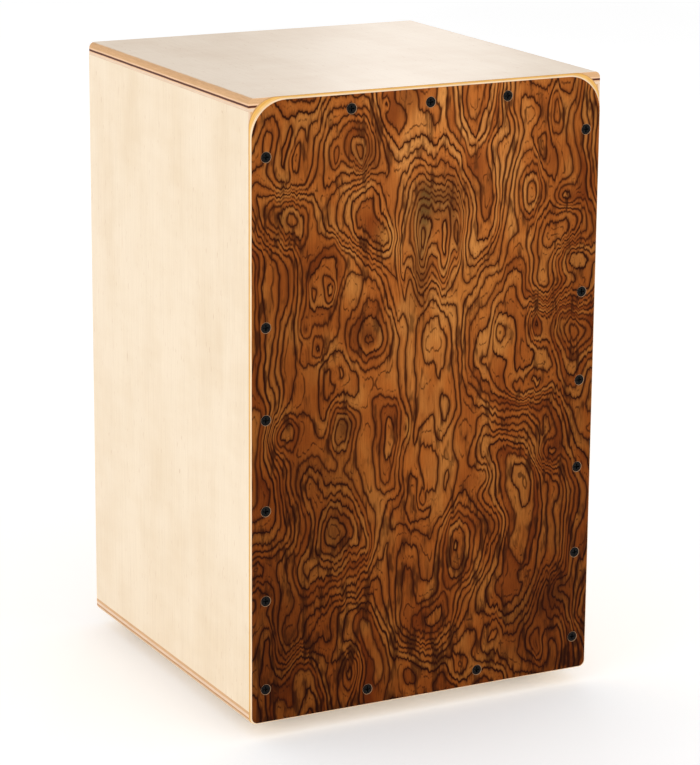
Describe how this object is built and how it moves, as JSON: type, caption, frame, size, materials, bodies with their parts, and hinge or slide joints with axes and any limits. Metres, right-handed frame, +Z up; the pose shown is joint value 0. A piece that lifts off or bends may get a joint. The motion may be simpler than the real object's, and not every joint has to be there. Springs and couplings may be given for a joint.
{
  "type": "cajon box drum",
  "caption": "Upright wooden box drum with a burl-veneered, screwed front plate, a rear sound port, inner snare wires and rubber feet.",
  "frame": {"origin": "on the floor under the feet, at the centre of the box's footprint", "axes": "+Z up; the struck front plate faces -Y and the sound port faces +Y; +X is on the right of a person looking at the front plate"},
  "size_m": [0.3, 0.303, 0.497],
  "materials": {
    "birch_ply": "clear matt lacquer on pale birch plywood",
    "back_ply": "clear matt lacquer on pale plywood",
    "burl_plate": "satin lacquer over dark burl veneer",
    "pine": "planed and unfinished",
    "black_screw": "black oxide, satin",
    "zinc_steel": "zinc plated",
    "snare_steel": "bright drawn wire and strip",
    "foot_rubber": "moulded matt rubber"
  },
  "bodies": {
    "root": {"top_panel": "birch_ply", "bottom_panel": "birch_ply", "left_side_panel": "birch_ply", "right_side_panel": "birch_ply", "back_panel": "back_ply", "front_plate": "burl_plate", "front_batten_left": "pine", "front_batten_right": "pine", "front_batten_top": "pine", "front_batten_bottom": "pine", "rear_batten_left": "pine", "rear_batten_right": "pine", "rear_batten_top": "pine", "rear_batten_bottom": "pine", "snare_bar": "pine", "front_plate_screws": "black_screw", "foot_screws": "zinc_steel", "foot_washers": "zinc_steel", "snare_bar_screws": "zinc_steel", "snare_clip_screws": "zinc_steel", "snare_wires_left": "snare_steel", "snare_clip_left": "snare_steel", "snare_end_strip_left": "snare_steel", "snare_wires_right": "snare_steel", "snare_clip_right": "snare_steel", "snare_end_strip_right": "snare_steel", "foot_front_left": "foot_rubber", "foot_rear_left": "foot_rubber", "foot_front_right": "foot_rubber", "foot_rear_right": "foot_rubber"}
  },
  "joints": []
}
